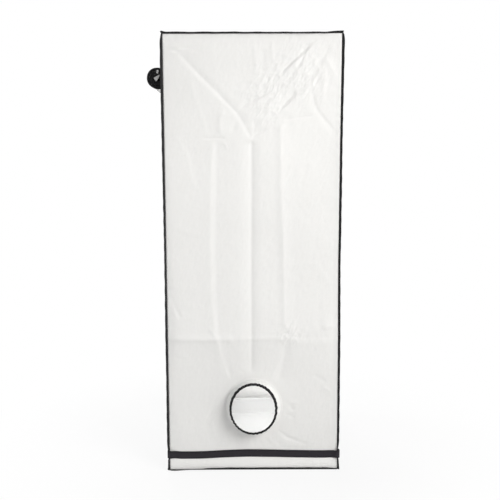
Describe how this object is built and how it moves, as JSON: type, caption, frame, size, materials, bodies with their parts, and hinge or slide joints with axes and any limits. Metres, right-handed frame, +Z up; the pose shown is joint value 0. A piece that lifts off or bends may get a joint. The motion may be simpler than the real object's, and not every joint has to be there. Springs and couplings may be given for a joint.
{
  "type": "indoor grow tent",
  "caption": "Upright square cloth grow tent with bound black seams on a tube frame, a rolled-up zip door, round duct sleeves, hanger bars and a lift-out floor tray.",
  "frame": {"origin": "on the floor, at the middle of the ground sheet's underside", "axes": "+Z up; -X is the door side, +X the back, -Y the side with the low intake sleeve, +Y the side with the high exhaust sleeve"},
  "size_m": [0.6601, 0.693, 1.5289],
  "materials": {
    "canvas": "white coated cloth, slight sheen",
    "ground_cloth": "coated cloth",
    "binding": "black woven binding tape",
    "webbing": "black woven webbing",
    "zip_tape": "black woven zip tape",
    "zip_metal": "black enamel",
    "tube": "white powder coat",
    "moulding": "black moulded plastic",
    "tray_sheet": "silver-grey coated sheet"
  },
  "bodies": {
    "tent": {"base_band": "webbing", "binding_back_exhaust": "binding", "binding_back_intake": "binding", "binding_door_exhaust": "binding", "binding_door_intake": "binding", "binding_ground": "binding", "binding_roof": "binding", "corner_bottom_back_exhaust": "moulding", "corner_bottom_back_intake": "moulding", "corner_bottom_door_exhaust": "moulding", "corner_bottom_door_intake": "moulding", "corner_top_back_exhaust": "moulding", "corner_top_back_intake": "moulding", "corner_top_door_exhaust": "moulding", "corner_top_door_intake": "moulding", "door_roll": "canvas", "door_roll_tape_exhaust": "zip_tape", "door_roll_tape_intake": "zip_tape", "door_tie_exhaust": "webbing", "door_tie_intake": "webbing", "door_tie_toggle_exhaust": "moulding", "door_tie_toggle_intake": "moulding", "door_zip": "zip_tape", "ground_sheet": "ground_cloth", "post_lower_back_exhaust": "tube", "post_lower_back_intake": "tube", "post_lower_door_exhaust": "tube", "post_lower_door_intake": "tube", "post_upper_back_exhaust": "tube", "post_upper_back_intake": "tube", "post_upper_door_exhaust": "tube", "post_upper_door_intake": "tube", "rail_bottom_back": "tube", "rail_bottom_door": "tube", "rail_bottom_exhaust": "tube", "rail_bottom_intake": "tube", "rail_top_back": "tube", "rail_top_door": "tube", "rail_top_exhaust": "tube", "rail_top_intake": "tube", "roof_panel": "canvas", "sleeve_exhaust": "canvas", "sleeve_exhaust_rim": "binding", "sleeve_intake": "canvas", "sleeve_intake_rim": "binding", "wall_back": "canvas", "wall_door": "canvas", "wall_exhaust": "canvas", "wall_intake": "canvas"},
    "hanger_door": {"hanger_bar_door": "tube", "hanger_hook_door_intake": "moulding", "hanger_hook_door_exhaust": "moulding"},
    "hanger_back": {"hanger_bar_back": "tube", "hanger_hook_back_intake": "moulding", "hanger_hook_back_exhaust": "moulding"},
    "slider_intake": {"zip_slider_intake": "zip_metal"},
    "slider_exhaust": {"zip_slider_exhaust": "zip_metal"},
    "pull_intake": {"zip_pull_intake": "zip_metal"},
    "pull_exhaust": {"zip_pull_exhaust": "zip_metal"},
    "tray": {"floor_tray": "tray_sheet"}
  },
  "joints": [
    {"name": "hanger_door_slide", "type": "slide", "parent": "tent", "child": "hanger_door", "axis": [1, 0, 0], "range_m": [-0.11, 0.09]},
    {"name": "hanger_back_slide", "type": "slide", "parent": "tent", "child": "hanger_back", "axis": [1, 0, 0], "range_m": [-0.09, 0.11]},
    {"name": "zip_intake_slide", "type": "slide", "parent": "tent", "child": "slider_intake", "axis": [0, 0, -1], "range_m": [0, 1.28]},
    {"name": "zip_exhaust_slide", "type": "slide", "parent": "tent", "child": "slider_exhaust", "axis": [0, 0, -1], "range_m": [0, 1.28]},
    {"name": "zip_pull_intake_hinge", "type": "hinge", "parent": "slider_intake", "child": "pull_intake", "pos_m": [-0.3057, -0.2545, 1.428], "axis": [0, 1, 0], "range_deg": [0, 170]},
    {"name": "zip_pull_exhaust_hinge", "type": "hinge", "parent": "slider_exhaust", "child": "pull_exhaust", "pos_m": [-0.3057, 0.2545, 1.428], "axis": [0, 1, 0], "range_deg": [0, 170]},
    {"name": "tray_lift", "type": "slide", "parent": "tent", "child": "tray", "axis": [0, 0, 1], "range_m": [0, 0.12]}
  ]
}
